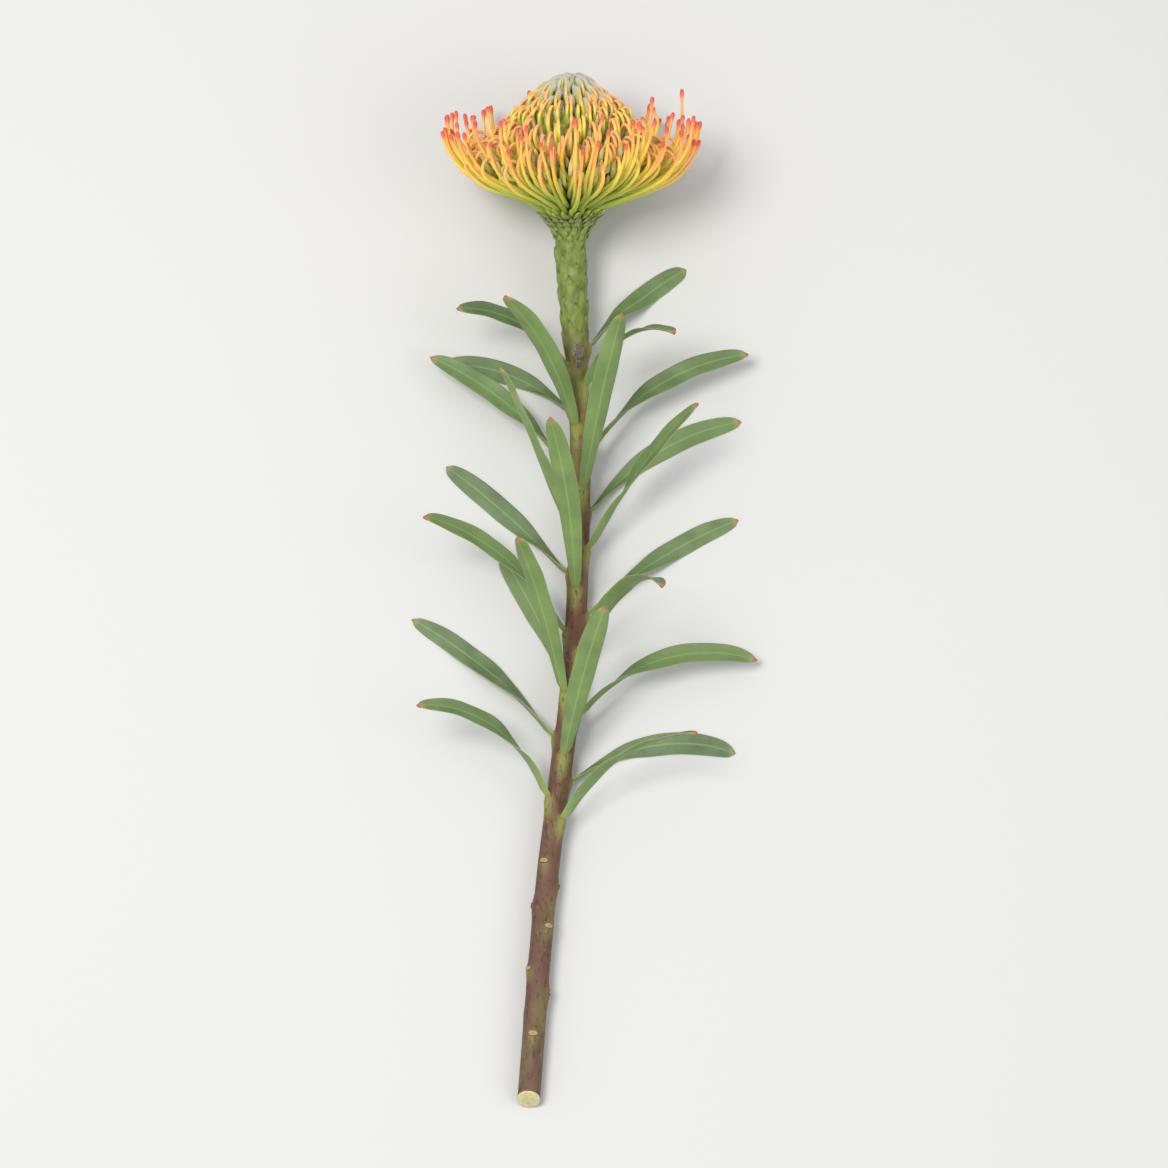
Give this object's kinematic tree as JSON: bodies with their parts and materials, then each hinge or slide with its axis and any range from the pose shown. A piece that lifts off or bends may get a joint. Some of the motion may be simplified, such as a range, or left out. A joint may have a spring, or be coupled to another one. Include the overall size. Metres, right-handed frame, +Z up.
{
  "type": "pincushion protea cut flower",
  "caption": "Cut pincushion protea lying on its side: domed bloom with looped and free curved styles, green neck, narrow leaves up a slender stem.",
  "frame": {"origin": "middle of the box that the flower fills, on the surface that it lies on", "axes": "+Y along the stem towards the bloom, +Z up from the surface, +X to the right seen from above with the bloom at the top"},
  "size_m": [0.1284, 0.3928, 0.0848],
  "materials": {
    "stem": "satin, green at the neck and reddish brown below",
    "bract": "matt, finely hairy",
    "rim_style": "satin, waxy",
    "ring_style": "satin, waxy",
    "floret_bud": "matt, woolly tips",
    "leaf": "satin, leathery",
    "side_bud": "matt, woolly"
  },
  "bodies": {
    "root": {"stem": "stem", "bracts": "bract", "rim_styles": "rim_style", "ring_styles": "ring_style", "bud_dome": "floret_bud", "leaf_01": "leaf", "leaf_02": "leaf", "leaf_03": "leaf", "leaf_04": "leaf", "leaf_05": "leaf", "leaf_06": "leaf", "leaf_07": "leaf", "leaf_08": "leaf", "leaf_09": "leaf", "leaf_10": "leaf", "leaf_11": "leaf", "leaf_12": "leaf", "leaf_13": "leaf", "leaf_14": "leaf", "leaf_15": "leaf", "leaf_16": "leaf", "leaf_17": "leaf", "leaf_18": "leaf", "leaf_19": "leaf", "leaf_20": "leaf", "leaf_21": "leaf", "leaf_22": "leaf", "leaf_23": "leaf", "leaf_24": "leaf", "side_bud_1": "side_bud", "side_bud_2": "side_bud", "side_bud_3": "side_bud"}
  },
  "joints": []
}
